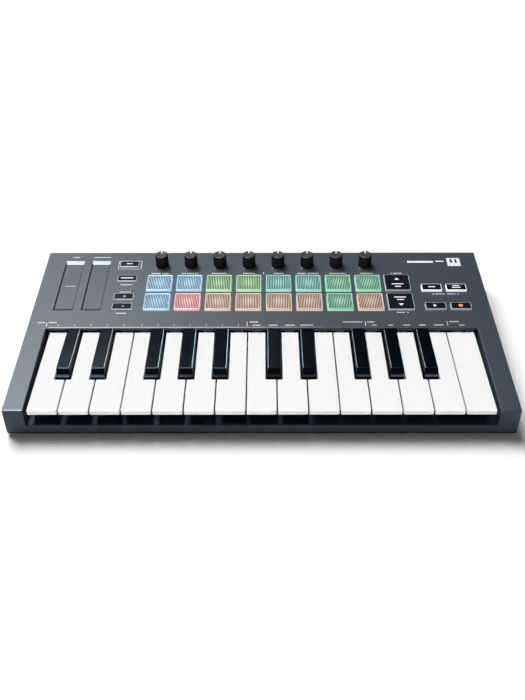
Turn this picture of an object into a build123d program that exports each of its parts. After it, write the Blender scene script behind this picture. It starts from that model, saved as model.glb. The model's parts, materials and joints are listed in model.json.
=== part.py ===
from build123d import *
from math import cos, radians, sin, tan
import os

# A compact MIDI keyboard controller: 25 mini keys, 16 pads, 8 knobs, 10 buttons and
# 2 touch strips in a two-shell plastic case.
#
# Millimetres.  The origin is on the surface that the feet stand on, under the middle of
# the case.  +X runs to the player's right, +Y to the back of the case and +Z up.
# Places on the tilted control panel are given as (x, s, h): s is the distance up the
# panel from its front edge, and h the height above its surface.

# --- case -------------------------------------------------------------------------
CASE_W = 330.0
CASE_D = 172.0
FOOT_H = 2.0                # how far the feet lift the underside
FRONT_H = 19.9              # underside to the panel's front edge
PANEL_TILT = 2.5            # degrees, the panel rises to the back
WALL = 2.2
EDGE_R = 0.5                # rounding of the case's outer edges
PLINTH_H = 1.0              # edge of the bottom casing that shows under the top casing
PLINTH_INSET = 0.15
PLINTH_CORNER_R = 0.8
FLOOR_T = 2.0               # thickness of the bottom casing's floor
RIM_H = 3.0                 # rim of the bottom casing, inside the top casing's walls
RIM_T = 1.5
FIT = 0.15                  # gap between parts that drop into each other
PAST = 1.0                  # how far a cutter runs past the surface that it opens
NEAR = 0.1                  # how close an edge lies to the place where it is looked for

FRONT_Y = -CASE_D / 2
PANEL_Z = FOOT_H + FRONT_H
SHELL_Z = FOOT_H + PLINTH_H         # lower edge of the top casing
FLOOR_Z = FOOT_H + FLOOR_T          # upper face of the bottom casing's floor
OVER_Z = PANEL_Z + 20               # well above the whole case
PANEL = Plane(
    origin=(0, FRONT_Y, PANEL_Z),
    x_dir=(1, 0, 0),
    z_dir=(0, -sin(radians(PANEL_TILT)), cos(radians(PANEL_TILT))),
)

# --- key well and keys ------------------------------------------------------------
WELL_W = 303.4
WELL_BACK_Y = FRONT_Y + 81.0
WELL_EDGE_R = 0.5
LIP_Z = FOOT_H + 7.0                # top of the front lip, under the key fronts
CHEEK_WALL = 2.2

WHITE_COUNT = 15
WHITE_PITCH = 20.0
KEY_GAP = 0.9
KEY_TOP_Z = FOOT_H + 19.2
KEY_FRONT_Y = FRONT_Y + 0.5
WHITE_BACK_Y = WELL_BACK_Y + 0.7    # the tails reach in under the panel
WHITE_PLATE_T = 2.2
WHITE_LIP_H = 3.0                   # height of a white key's front face
WHITE_LIP_T = 1.8
WHITE_CORNER_R = 0.9
WHITE_EDGE_R = 0.3
NOTCH_CORNER_R = 0.6
NOTCH_Y = FRONT_Y + 31.1            # front of the gap that a black key stands in
NOTCH_W = 11.4
RIB_T = 1.2
RIB_FRONT_Y = FRONT_Y + 6.0
RIB_BOTTOM_Z = FOOT_H + 14.8

# Black keys stand at these boundaries between white keys of an octave, counted from C,
# and their centres are shifted from the boundary by these amounts.
BLACK_SHIFTS = {1: -1.8, 2: 1.4, 4: -2.8, 5: -0.2, 6: 2.4}
BLACK_NAMES = {1: "cs", 2: "ds", 4: "fs", 5: "gs", 6: "as"}
WHITE_NAMES = "cdefgab"
OCTAVE = 7                          # white keys in an octave
BLACK_W = 9.8                       # at the foot
BLACK_TOP_W = 8.8
BLACK_FRONT_Y = FRONT_Y + 32.1
BLACK_LEDGE = 2.0                   # how far the foot stands out from the front face
BLACK_SLOPE = 3.8                   # from the foot's front back to the top edge
BLACK_BACK_Y = WELL_BACK_Y - 0.8
BLACK_FOOT_Z = FOOT_H + 20.3        # top of the foot's upright front
BLACK_LEDGE_Z = FOOT_H + 20.8       # where the foot meets the front face
BLACK_FRONT_TOP_Z = FOOT_H + 25.0
BLACK_BACK_TOP_Z = FOOT_H + 23.3
BLACK_BOTTOM_Z = FOOT_H + 15.0
BLACK_EDGE_R = 0.8
BLACK_FOOT_EDGE_R = 0.3

# --- key action -------------------------------------------------------------------
PIVOT_Y = FRONT_Y + 93.0
PIVOT_Z = FOOT_H + 13.5
ROD_R = 1.5
ROD_BORE_R = 1.55                   # in the keys, which turn on the rod
BEARING_BORE_R = 1.52               # in the chassis
ARM_W = 6.0
ARM_BOTTOM_Z = FOOT_H + 14.0
ARM_TOP_Z = FOOT_H + 15.9
ARM_FRONT_Y = WELL_BACK_Y - 11.0
ARM_BACK_Y = PIVOT_Y + 3.5
KNUCKLE_FRONT_Y = PIVOT_Y - 3.5
KNUCKLE_BOTTOM_Z = FOOT_H + 11.0
CHASSIS_W = 302.6
CHASSIS_FRONT_Y = FRONT_Y + 2.4
CHASSIS_FLANGE_Y = FRONT_Y + 0.3    # front edge of the flange that lies on the front lip
CHASSIS_Z = FOOT_H + 5.2
CHASSIS_T = 2.2
CHASSIS_TOP_Z = CHASSIS_Z + CHASSIS_T
CHASSIS_RIB_T = 1.6
CHASSIS_RIB_YS = (FRONT_Y + 14.0, FRONT_Y + 44.0, FRONT_Y + 74.0)
BEARING_T = 1.6
BEARING_FRONT_Y = PIVOT_Y - 4.0
BEARING_BACK_Y = PIVOT_Y + 4.0
BEARING_TOP_Z = PIVOT_Z + 2.4
END_BEARING_X = WHITE_COUNT * WHITE_PITCH / 2 - 0.6
ROD_HALF_L = END_BEARING_X + BEARING_T
STOP_RAIL_Y = (FRONT_Y + 14.0, FRONT_Y + 18.0)
STOP_RAIL_Z = FOOT_H + 11.0
STOP_RAIL_INSET = 1.0
PLUNGER_Y = FRONT_Y + 60.0
PLUNGER_SIZE = (3.0, 4.0)
PLUNGER_Z = FOOT_H + 13.8
KEY_PCB_Y = (FRONT_Y + 46.0, FRONT_Y + 73.0)
PCB_T = 1.6
PCB_INSET = 2.0                     # ends of the key board and of its contact strip
STRIP_INSET = 3.0
STRIP_Y = (FRONT_Y + 54.0, FRONT_Y + 66.0)
STRIP_T = 0.8
DOME_H = 1.8
DOME_R = (2.5, 1.5)
SPRING_Y = FRONT_Y + 81.5
SPRING_R = 2.0
SPRING_WIRE_R = 0.22
SPRING_TURNS = 4.5
SPRING_GAP = 0.05

# --- panel controls ---------------------------------------------------------------
CONTROL_TOP_H = 1.5                 # pads and most buttons above the panel
WINDOW_GAP = 0.25                   # round a pad or a button
PAD_SIZE = 18.8
PAD_COUNT = 8
PAD_X = -76.2                       # centre of the first pad
PAD_PITCH = 22.15
PAD_ROWS = (100.2, 122.6)           # front edges of the rows
PAD_RIM = 1.1
PAD_RIM_H = 0.35
PAD_POCKET = 8.0
PAD_POCKET_H = 2.4
MAT_WEB_T = 1.3
MAT_MARGIN = 1.3
LED_SIZE = 3.0
LED_H = 1.0

PAGE_X = 100.7                      # column of the two large square buttons
SMALL_RIGHT_X = (125.4, 143.6)
SMALL_LEFT_X = -101.05
# Size along x, size along s and height above the panel.
PAGE_SIZE = (PAD_SIZE, PAD_SIZE, CONTROL_TOP_H)
SMALL_RIGHT_SIZE = (14.8, 7.5, CONTROL_TOP_H)
SMALL_LEFT_SIZE = (14.5, 7.1, 1.0)
BUTTON_FLANGE = 0.8
BUTTON_FLANGE_T = 1.0
BUTTON_REST_GAP = 0.3               # flange to the underside of the panel
BUTTON_STEM = 3.0
BUTTON_STEM_H = 1.0
BUTTON_CORNER_R = 0.8
BUTTON_EDGE_R = 0.4
SWITCH_SIZE = (6.0, 5.0)
SWITCH_BODY_H = 0.8
SWITCH_TOP_H = 1.3
# name: centre x, centre s, sizes
BUTTONS = {
    "shift": (SMALL_LEFT_X, 156.2, *SMALL_LEFT_SIZE),
    "transpose": (SMALL_LEFT_X, 138.2, *SMALL_LEFT_SIZE),
    "octave_up": (SMALL_LEFT_X, 116.1, *SMALL_LEFT_SIZE),
    "octave_down": (SMALL_LEFT_X, 104.6, *SMALL_LEFT_SIZE),
    "page_up": (PAGE_X, PAD_ROWS[1] + PAD_SIZE / 2, *PAGE_SIZE),
    "page_down": (PAGE_X, PAD_ROWS[0] + PAD_SIZE / 2, *PAGE_SIZE),
    "scale": (SMALL_RIGHT_X[0], 126.35, *SMALL_RIGHT_SIZE),
    "note_repeat": (SMALL_RIGHT_X[1], 126.35, *SMALL_RIGHT_SIZE),
    "play": (SMALL_RIGHT_X[0], 104.35, *SMALL_RIGHT_SIZE),
    "record": (SMALL_RIGHT_X[1], 104.35, *SMALL_RIGHT_SIZE),
}

STRIP_W = 14.3
STRIP_XS = (-143.3, -123.25)        # pitch strip, modulation strip
STRIP_S = (100.8, 161.0)            # ends of the recess at the panel's surface
STRIP_DEPTH = 1.1
STRIP_BACK_BEVEL = 3.4
STRIP_FRONT_BEVEL = 3.0
STRIP_SIDE_BEVEL = 0.7
STRIP_LEDGE = 0.2                   # floor left round the window of the strip
STRIP_FLANGE = 1.4
STRIP_FLANGE_T = 0.9
STRIP_GAP = 0.1

KNOB_COUNT = 8
KNOB_PITCH = 22.1
KNOB_S = 155.9
KNOB_BOTTOM_H = 0.6
KNOB_TOP_H = 10.0
KNOB_R = (5.1, 4.85)                # at the bottom and at the top
KNOB_CHAMFER = 0.6
POINTER_W = 0.9
POINTER_L = 3.4
POINTER_DEPTH = 0.3
SPINDLE_R = 2.0
SPINDLE_BOTTOM_H = -6.4
SPINDLE_TOP_H = 8.0
SPINDLE_CLEARANCE = 0.05
POT_SIZE = 10.0
POT_TOP_H = -2.6
POT_BORE_BOTTOM_H = -6.6
BUSHING_R = 3.3
BUSHING_TOP_H = -0.3
POT_HOLE_R = 3.6

BOARD_TOP_H = -7.0                  # upper face of the control board
BOARD_S = (98.6, 161.5)
BOARD_HALF_W = 154.0

# --- sockets in the back wall -----------------------------------------------------
USB_X = -120.0
USB_SIZE = (7.6, 6.0, 2.9)          # metal shell of the socket
USB_Z = 18.6
USB_SHELL_T = 0.4
USB_ROOT_T = 0.8                    # block that carries the tongue
USB_TONGUE = (4.0, 3.6, 0.7)
SUSTAIN_X = -92.0
MIDI_X = -66.0
JACK_Z = 13.6
SUSTAIN_BORE_R = 3.2
SUSTAIN_NOSE_R = 5.0
SUSTAIN_BODY = (13.0, 26.0, 11.0)
SUSTAIN_BORE_L = 24.0
MIDI_BORE_R = 1.8
MIDI_NOSE_R = 2.9
MIDI_BODY = (7.0, 14.0, 7.0)
MIDI_BORE_L = 14.5
LOCK_X = -142.0
LOCK_SLOT = (7.0, 3.0)
LOCK_Z = 14.0
PORT_GAP = 0.2                      # between a socket and its hole in the wall
PORT_RECESS = 0.3                   # sockets stand this far in from the back of the case

# --- feet and screws --------------------------------------------------------------
FOOT_R = 6.0
FOOT_SINK = 0.6
FOOT_CHAMFER = 0.4
FOOT_X = 146.0
FOOT_YS = (FRONT_Y + 18.0, -FRONT_Y - 18.0)
SCREW_R = 1.05
SCREW_CLEARANCE_R = 1.4
SCREW_HEAD_R = 2.4
SCREW_HEAD_H = 1.0
SCREW_SLOT_W = 0.6
SCREW_SLOT_L = 2.9
SCREW_SLOT_DEPTH = 0.5
CASE_SCREW_L = 9.0                  # shanks, from under the head
CHASSIS_SCREW_L = 5.2
BOARD_SCREW_L = 4.5
HEAD_RECESS_R = 2.8
HEAD_RECESS_H = 1.2
BOSS_R = 2.6
CHEEK_BOSS_X = 158.3
CASE_SCREWS = [(side * CHEEK_BOSS_X, y) for side in (-1, 1) for y in (-72.0, -22.0, 40.0)]
CASE_SCREWS += [(x, 79.0) for x in (-153.0, -20.0, 60.0, 153.0)]
BOARD_BOSS_R = 2.3
BOARD_SCREWS = [(-111.8, 111.0), (-111.8, 148.0), (114.0, 112.0), (114.0, 148.0)]
BOARD_SCREWS += [(x, 146.6) for x in (-65.1, 1.2, 67.5)]
CHASSIS_FRONT_SCREWS_Y = FRONT_Y + 32.0
CHASSIS_FRONT_SCREWS_X = (-140.0, -50.0, 50.0, 140.0)


# --- helpers ----------------------------------------------------------------------
def block(x0, x1, y0, y1, z0, z1):
    """Box between two corners."""
    middle = Pos((x0 + x1) / 2, (y0 + y1) / 2, (z0 + z1) / 2)
    return middle * Box(x1 - x0, y1 - y0, z1 - z0)


def peg(x, y, z0, z1, radius):
    """Upright round bar."""
    return Pos(x, y, (z0 + z1) / 2) * Cylinder(radius, z1 - z0)


def centred(x, y, size_x, size_y, z0, z1):
    """Box centred on (x, y)."""
    return block(x - size_x / 2, x + size_x / 2, y - size_y / 2, y + size_y / 2, z0, z1)


def on_panel(shape):
    """Carry a shape made in panel places (x, s, h) to the tilted panel."""
    return PANEL.location * shape


def surface_z(y, h=0.0):
    """Height of the panel's surface, or of a plane h above it, at y."""
    return PANEL_Z + (y - FRONT_Y) * tan(radians(PANEL_TILT)) + h / cos(radians(PANEL_TILT))


def case_prism(inset, z_low):
    """Solid with the case's side outline, pulled in by inset all round."""
    y = CASE_D / 2 - inset
    corners = [(-y, z_low), (y, z_low), (y, surface_z(y, -inset)), (-y, surface_z(-y, -inset))]
    outline = Plane.YZ * Polygon(*corners, align=None)
    return extrude(outline, CASE_W / 2 - inset, both=True)


def save(name, *solids):
    """Write one node, which may hold several separate solids."""
    shape = solids[0] if len(solids) == 1 else Compound(children=list(solids))
    export_step(shape, f"parts/{name}.step")


def screw(x, y, z_head, length, up=1):
    """Cross-head screw that bears at z_head, with its shank pointing up (1) or down (-1)."""
    head_end = z_head - up * SCREW_HEAD_H
    shank = peg(x, y, *sorted((z_head, z_head + up * length)), SCREW_R)
    head = peg(x, y, *sorted((z_head, head_end)), SCREW_HEAD_R)
    slot_z = sorted((head_end, head_end + up * SCREW_SLOT_DEPTH))
    cross = centred(x, y, SCREW_SLOT_L, SCREW_SLOT_W, *slot_z)
    cross += centred(x, y, SCREW_SLOT_W, SCREW_SLOT_L, *slot_z)
    return shank + head - cross


# --- key layout -------------------------------------------------------------------
def boundary_x(i):
    """Place of the boundary to the left of white key i."""
    return (i - WHITE_COUNT / 2) * WHITE_PITCH


def has_black(i):
    """Whether a black key stands at boundary i."""
    return 0 < i < WHITE_COUNT and i % OCTAVE in BLACK_SHIFTS


def black_x(i):
    """Centre of the black key at boundary i."""
    return boundary_x(i) + BLACK_SHIFTS[i % OCTAVE]


def white_front(i):
    """Left and right edge of white key i at its front."""
    return boundary_x(i) + KEY_GAP / 2, boundary_x(i + 1) - KEY_GAP / 2


def white_tail(i):
    """Left and right edge of white key i between the black keys."""
    left, right = white_front(i)
    if has_black(i):
        left = black_x(i) + NOTCH_W / 2
    if has_black(i + 1):
        right = black_x(i + 1) - NOTCH_W / 2
    return left, right


def white_name(i):
    return f"white_key_{WHITE_NAMES[i % OCTAVE]}{i // OCTAVE + 1}"


def black_name(i):
    return f"black_key_{BLACK_NAMES[i % OCTAVE]}{i // OCTAVE + 1}"


def key_arms():
    """Centre of every key's rear arm, from left to right."""
    whites = [sum(white_tail(i)) / 2 for i in range(WHITE_COUNT)]
    blacks = [black_x(i) for i in range(WHITE_COUNT) if has_black(i)]
    return sorted(whites + blacks)


ARMS = key_arms()
ARM_GAPS = [(a + b) / 2 for a, b in zip(ARMS, ARMS[1:])]
# Rear chassis screws go where two white keys meet, left and right of the middle.
REAR_SCREW_XS = (boundary_x(3), boundary_x(7), boundary_x(10))
CHASSIS_SCREWS = [(x, CHASSIS_FRONT_SCREWS_Y) for x in CHASSIS_FRONT_SCREWS_X]
CHASSIS_SCREWS += [(x, SPRING_Y) for x in REAR_SCREW_XS]


# --- case parts -------------------------------------------------------------------
def recess_outline(low, high, low_bevel, high_bevel):
    """Cross-section of a sunk strip between low and high, with a bevel at each end."""
    over = PAST / STRIP_DEPTH
    return Polygon(
        (low - over * low_bevel, PAST),
        (low + low_bevel, -STRIP_DEPTH),
        (high - high_bevel, -STRIP_DEPTH),
        (high + over * high_bevel, PAST),
        align=None,
    )


def strip_recess(x):
    """Cutter for a touch strip's recess, which slopes down on all four sides."""
    length = Plane.YZ * recess_outline(*STRIP_S, STRIP_FRONT_BEVEL, STRIP_BACK_BEVEL)
    half = STRIP_W / 2
    across = Plane.XZ * recess_outline(-half, half, STRIP_SIDE_BEVEL, STRIP_SIDE_BEVEL)
    recess = extrude(length, STRIP_W, both=True) & extrude(across, 2 * STRIP_S[1], both=True)
    return Pos(x, 0, 0) * recess


def strip_floor(x, grow, h0, h1):
    """Block the size of a strip's window, grown by grow on each side."""
    s0 = STRIP_S[0] + STRIP_FRONT_BEVEL + STRIP_LEDGE - grow
    s1 = STRIP_S[1] - STRIP_BACK_BEVEL - STRIP_LEDGE + grow
    half = STRIP_W / 2 - STRIP_SIDE_BEVEL - STRIP_LEDGE + grow
    return block(x - half, x + half, s0, s1, h0, h1)


def panel_openings():
    """Cutters for every window and hole in the control panel."""
    low = -WALL - PAST
    high = PAST
    cuts = []
    for s0 in PAD_ROWS:
        for i in range(PAD_COUNT):
            size = PAD_SIZE + 2 * WINDOW_GAP
            cuts.append(centred(PAD_X + i * PAD_PITCH, s0 + PAD_SIZE / 2, size, size, low, high))
    for x, s, size_x, size_s, _ in BUTTONS.values():
        grow = 2 * WINDOW_GAP
        cuts.append(centred(x, s, size_x + grow, size_s + grow, low, high))
    for i in range(KNOB_COUNT):
        cuts.append(peg(PAD_X + i * KNOB_PITCH, KNOB_S, low, high, POT_HOLE_R))
    for x in STRIP_XS:
        cuts.append(strip_recess(x))
        cuts.append(strip_floor(x, 0, low, 0))
    return [on_panel(cut) for cut in cuts]


def port_openings():
    """Cutters for the sockets and the lock slot in the back wall."""
    y0 = CASE_D / 2 - WALL - PAST
    y1 = CASE_D / 2 + PAST
    usb_x = USB_SIZE[0] / 2 + PORT_GAP
    usb_z = USB_SIZE[2] / 2 + PORT_GAP
    cuts = [block(USB_X - usb_x, USB_X + usb_x, y0, y1, USB_Z - usb_z, USB_Z + usb_z)]
    for x, radius in ((SUSTAIN_X, SUSTAIN_NOSE_R), (MIDI_X, MIDI_NOSE_R)):
        hole = Cylinder(radius + PORT_GAP, y1 - y0)
        cuts.append(Pos(x, (y0 + y1) / 2, JACK_Z) * Rot(90, 0, 0) * hole)
    slot = Plane.XZ * SlotOverall(*LOCK_SLOT)
    cuts.append(Pos(LOCK_X, y1, LOCK_Z) * extrude(slot, y1 - y0))
    return cuts


def case_bosses():
    """Screw bosses of the top casing, for the bottom casing and for the control board."""
    inside = case_prism(WALL / 2, FLOOR_Z)
    bosses = [peg(x, y, FLOOR_Z, OVER_Z, BOSS_R) & inside for x, y in CASE_SCREWS]
    for x, s in BOARD_SCREWS:
        bosses.append(on_panel(peg(x, s, BOARD_TOP_H, -WALL / 2, BOARD_BOSS_R)))
    return bosses


def boss_holes():
    case_top_z = FOOT_H + HEAD_RECESS_H + CASE_SCREW_L
    holes = [peg(x, y, FLOOR_Z - PAST, case_top_z, SCREW_R) for x, y in CASE_SCREWS]
    board_top_h = BOARD_TOP_H - PCB_T + BOARD_SCREW_L
    for x, s in BOARD_SCREWS:
        holes.append(on_panel(peg(x, s, BOARD_TOP_H - PAST, board_top_h, SCREW_R)))
    return holes


def is_well_edge(edge):
    """Whether an edge is one of the key well's three edges in the panel's surface."""
    middle = edge.center()
    on_surface = abs(middle.Z - surface_z(middle.Y)) < NEAR
    at_side = abs(abs(middle.X) - WELL_W / 2) < NEAR
    at_back = abs(middle.Y - WELL_BACK_Y) < NEAR
    return on_surface and (at_side or at_back)


def make_top_casing():
    outer = case_prism(0, SHELL_Z)
    outer = fillet(outer.edges().filter_by(lambda e: e.center().Z > SHELL_Z + NEAR), EDGE_R)
    well = block(-WELL_W / 2, WELL_W / 2, FRONT_Y - PAST, WELL_BACK_Y, LIP_Z, OVER_Z)
    shell = outer - case_prism(WALL, SHELL_Z - PAST) - well
    shell = fillet(shell.edges().filter_by(is_well_edge), WELL_EDGE_R)
    inside = case_prism(WALL / 2, FLOOR_Z)
    for side in (-1, 1):
        edges = sorted((side * WELL_W / 2, side * (WELL_W / 2 + CHEEK_WALL)))
        wall = block(*edges, FRONT_Y + WALL / 2, WELL_BACK_Y + CHEEK_WALL, FLOOR_Z, OVER_Z)
        shell += wall & inside
    shell += case_bosses()
    shell -= panel_openings() + port_openings() + boss_holes()
    return shell


def make_bottom_casing():
    plinth_w = CASE_W - 2 * PLINTH_INSET
    plinth = centred(0, 0, plinth_w, CASE_D - 2 * PLINTH_INSET, FOOT_H, SHELL_Z)
    plinth = fillet(plinth.edges().filter_by(Axis.Z), PLINTH_CORNER_R)
    room_w = CASE_W - 2 * (WALL + FIT)
    room_d = CASE_D - 2 * (WALL + FIT)
    rim_top = FLOOR_Z + RIM_H
    rim = centred(0, 0, room_w, room_d, SHELL_Z, rim_top)
    rim -= centred(0, 0, room_w - 2 * RIM_T, room_d - 2 * RIM_T, FLOOR_Z, rim_top + PAST)
    tray = plinth + rim
    # The rim makes way for the cheeks' inner walls at the front.
    for side in (-1, 1):
        edges = sorted((side * (WELL_W / 2 - PAST), side * (WELL_W / 2 + CHEEK_WALL + PAST)))
        tray -= block(*edges, FRONT_Y + WALL / 2, FRONT_Y + 2 * WALL, FLOOR_Z, rim_top + PAST)
    for x, y in CHASSIS_SCREWS:
        tray += peg(x, y, FLOOR_Z, CHASSIS_Z, BOSS_R)
    cuts = [peg(x, y, SHELL_Z, CHASSIS_Z + PAST, SCREW_R) for x, y in CHASSIS_SCREWS]
    for x, y in CASE_SCREWS:
        cuts.append(peg(x, y, FOOT_H - PAST, FLOOR_Z + PAST, SCREW_CLEARANCE_R))
        cuts.append(peg(x, y, FOOT_H - PAST, FOOT_H + HEAD_RECESS_H, HEAD_RECESS_R))
    cuts += [peg(x, y, FOOT_H - PAST, FOOT_H + FOOT_SINK, FOOT_R) for x, y in foot_places()]
    return tray - cuts


def foot_places():
    return [(side * FOOT_X, y) for side in (-1, 1) for y in FOOT_YS]


def make_foot(x, y):
    foot = peg(x, y, 0, FOOT_H + FOOT_SINK, FOOT_R)
    return chamfer(foot.edges().sort_by(Axis.Z)[0], FOOT_CHAMFER)


def make_touch_strip(x):
    plate = strip_floor(x, -STRIP_GAP, -WALL, -STRIP_DEPTH)
    plate += strip_floor(x, STRIP_FLANGE, -WALL - STRIP_FLANGE_T, -WALL)
    return on_panel(plate)


# --- keys -------------------------------------------------------------------------
def key_arm(x, front_y):
    """Rear arm with the knuckle that turns on the rod, and the contact plunger."""
    half = ARM_W / 2
    arm = block(x - half, x + half, front_y, ARM_BACK_Y, ARM_BOTTOM_Z, ARM_TOP_Z)
    arm += block(x - half, x + half, KNUCKLE_FRONT_Y, ARM_BACK_Y, KNUCKLE_BOTTOM_Z, ARM_TOP_Z)
    root_z = KEY_TOP_Z - WHITE_PLATE_T
    arm += block(x - half, x + half, front_y, WHITE_BACK_Y, ARM_BOTTOM_Z, root_z)
    arm += centred(x, PLUNGER_Y, *PLUNGER_SIZE, PLUNGER_Z, root_z)
    return arm


def rod_bore(x):
    """Cutter for the bore of a key's knuckle."""
    return Pos(x, PIVOT_Y, PIVOT_Z) * Rot(0, 90, 0) * Cylinder(ROD_BORE_R, ARM_W + 2 * PAST)


def upright_edge(shape, x, y):
    """The upright edges of a shape at (x, y)."""
    return shape.edges().filter_by(Axis.Z).filter_by(
        lambda e: abs(e.center().X - x) < NEAR and abs(e.center().Y - y) < NEAR
    )


def make_white_key(i):
    left, right = white_front(i)
    tail_left, tail_right = white_tail(i)
    plate_z = KEY_TOP_Z - WHITE_PLATE_T
    key = block(left, right, KEY_FRONT_Y, NOTCH_Y, plate_z, KEY_TOP_Z)
    key += block(tail_left, tail_right, KEY_FRONT_Y, WHITE_BACK_Y, plate_z, KEY_TOP_Z)
    lip_back_y = KEY_FRONT_Y + WHITE_LIP_T
    key += block(left, right, KEY_FRONT_Y, lip_back_y, KEY_TOP_Z - WHITE_LIP_H, KEY_TOP_Z)
    upright = key.edges().filter_by(Axis.Z)
    key = fillet(upright.group_by(Axis.Y)[0], WHITE_CORNER_R)
    for side_x, is_notched in ((left, has_black(i)), (right, has_black(i + 1))):
        if is_notched:
            key = fillet(upright_edge(key, side_x, NOTCH_Y), NOTCH_CORNER_R)
    key = fillet(key.faces().sort_by(Axis.Z)[-1].edges(), WHITE_EDGE_R)
    for x0, x1 in ((tail_left, tail_left + RIB_T), (tail_right - RIB_T, tail_right)):
        key += block(x0, x1, RIB_FRONT_Y, ARM_FRONT_Y, RIB_BOTTOM_Z, plate_z)
    x = (tail_left + tail_right) / 2
    return key + key_arm(x, ARM_FRONT_Y) - rod_bore(x)


def make_black_key(i):
    x = black_x(i)
    side = Polygon(
        (BLACK_FRONT_Y, BLACK_BOTTOM_Z),
        (BLACK_BACK_Y, BLACK_BOTTOM_Z),
        (BLACK_BACK_Y, BLACK_BACK_TOP_Z),
        (BLACK_FRONT_Y + BLACK_SLOPE, BLACK_FRONT_TOP_Z),
        (BLACK_FRONT_Y + BLACK_LEDGE, BLACK_LEDGE_Z),
        (BLACK_FRONT_Y, BLACK_FOOT_Z),
        align=None,
    )
    half = BLACK_W / 2
    top_half = BLACK_TOP_W / 2
    end = Polygon(
        (-half, BLACK_BOTTOM_Z),
        (half, BLACK_BOTTOM_Z),
        (top_half, BLACK_FRONT_TOP_Z),
        (-top_half, BLACK_FRONT_TOP_Z),
        align=None,
    )
    cap = extrude(Plane.YZ * side, half, both=True)
    cap &= Pos(0, BLACK_BACK_Y, 0) * extrude(Plane.XZ * end, BLACK_BACK_Y - BLACK_FRONT_Y)
    seen = cap.edges().filter_by(lambda e: e.center().Z > BLACK_LEDGE_Z + NEAR)
    seen = seen.filter_by(lambda e: e.center().Y < BLACK_BACK_Y - NEAR)
    cap = fillet(seen, BLACK_EDGE_R)
    foot = cap.edges().filter_by(lambda e: BLACK_BOTTOM_Z + NEAR < e.center().Z < BLACK_LEDGE_Z - NEAR)
    foot = foot.filter_by(lambda e: e.center().Y < BLACK_FRONT_Y + BLACK_LEDGE)
    cap = Pos(x, 0, 0) * fillet(foot, BLACK_FOOT_EDGE_R)
    return cap + key_arm(x, PLUNGER_Y - PLUNGER_SIZE[1]) - rod_bore(x)


# --- key action -------------------------------------------------------------------
def make_key_chassis():
    half = CHASSIS_W / 2
    chassis = block(-half, half, CHASSIS_FRONT_Y, BEARING_BACK_Y, CHASSIS_Z, CHASSIS_TOP_Z)
    chassis += block(-half, half, CHASSIS_FLANGE_Y, CHASSIS_FRONT_Y, LIP_Z, CHASSIS_TOP_Z)
    for y in CHASSIS_RIB_YS:
        rib_y = (y - CHASSIS_RIB_T / 2, y + CHASSIS_RIB_T / 2)
        chassis += block(-half, half, *rib_y, FLOOR_Z, CHASSIS_Z)
    rail_half = half - STOP_RAIL_INSET
    chassis += block(-rail_half, rail_half, *STOP_RAIL_Y, CHASSIS_TOP_Z, STOP_RAIL_Z)
    webs = []
    for x in [-END_BEARING_X, *ARM_GAPS, END_BEARING_X]:
        web_x = (x - BEARING_T / 2, x + BEARING_T / 2)
        webs.append(block(*web_x, BEARING_FRONT_Y, BEARING_BACK_Y, CHASSIS_TOP_Z, BEARING_TOP_Z))
    chassis += webs
    chassis -= Pos(0, PIVOT_Y, PIVOT_Z) * Rot(0, 90, 0) * Cylinder(BEARING_BORE_R, CASE_W)
    hole_z = (CHASSIS_Z - PAST, CHASSIS_TOP_Z + PAST)
    holes = [peg(x, y, *hole_z, SCREW_CLEARANCE_R) for x, y in CHASSIS_SCREWS]
    return chassis - holes


def make_key_pivot_rod():
    return Pos(0, PIVOT_Y, PIVOT_Z) * Rot(0, 90, 0) * Cylinder(ROD_R, 2 * ROD_HALF_L)


def make_key_pcb():
    half = CHASSIS_W / 2 - PCB_INSET
    return block(-half, half, *KEY_PCB_Y, CHASSIS_TOP_Z, CHASSIS_TOP_Z + PCB_T)


def make_contact_strip():
    half = CHASSIS_W / 2 - STRIP_INSET
    z = CHASSIS_TOP_Z + PCB_T
    strip = block(-half, half, *STRIP_Y, z, z + STRIP_T)
    domes = [Pos(x, PLUNGER_Y, z + STRIP_T + DOME_H / 2) * Cone(*DOME_R, DOME_H) for x in ARMS]
    return strip + domes


def make_key_springs():
    low = CHASSIS_TOP_Z + SPRING_WIRE_R + SPRING_GAP
    high = ARM_BOTTOM_Z - SPRING_WIRE_R - SPRING_GAP
    path = Helix(pitch=(high - low) / SPRING_TURNS, height=high - low, radius=SPRING_R)
    wire = Plane(origin=path @ 0, z_dir=path % 0) * Circle(SPRING_WIRE_R)
    coil = sweep(wire, path=path)
    return [Pos(x, SPRING_Y, low) * coil for x in ARMS]


# --- panel controls ---------------------------------------------------------------
def make_pad_mat():
    web_s = (PAD_ROWS[0] - MAT_MARGIN, PAD_ROWS[1] + PAD_SIZE + MAT_MARGIN)
    last_x = PAD_X + (PAD_COUNT - 1) * PAD_PITCH
    reach = PAD_SIZE / 2 + MAT_MARGIN
    web_top = -WALL - STRIP_GAP
    mat = block(PAD_X - reach, last_x + reach, *web_s, web_top - MAT_WEB_T, web_top)
    pads = []
    hollows = []
    for s0 in PAD_ROWS:
        s = s0 + PAD_SIZE / 2
        for i in range(PAD_COUNT):
            x = PAD_X + i * PAD_PITCH
            pad = centred(x, s, PAD_SIZE, PAD_SIZE, BOARD_TOP_H, CONTROL_TOP_H)
            pads.append(fillet(pad.edges().filter_by(Axis.Z), BUTTON_CORNER_R))
            face = PAD_SIZE - 2 * PAD_RIM
            face_h = (CONTROL_TOP_H - PAD_RIM_H, CONTROL_TOP_H + PAST)
            hollows.append(centred(x, s, face, face, *face_h))
            pocket_h = (BOARD_TOP_H - PAST, BOARD_TOP_H + PAD_POCKET_H)
            hollows.append(centred(x, s, PAD_POCKET, PAD_POCKET, *pocket_h))
    return on_panel(mat + pads - hollows)


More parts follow.
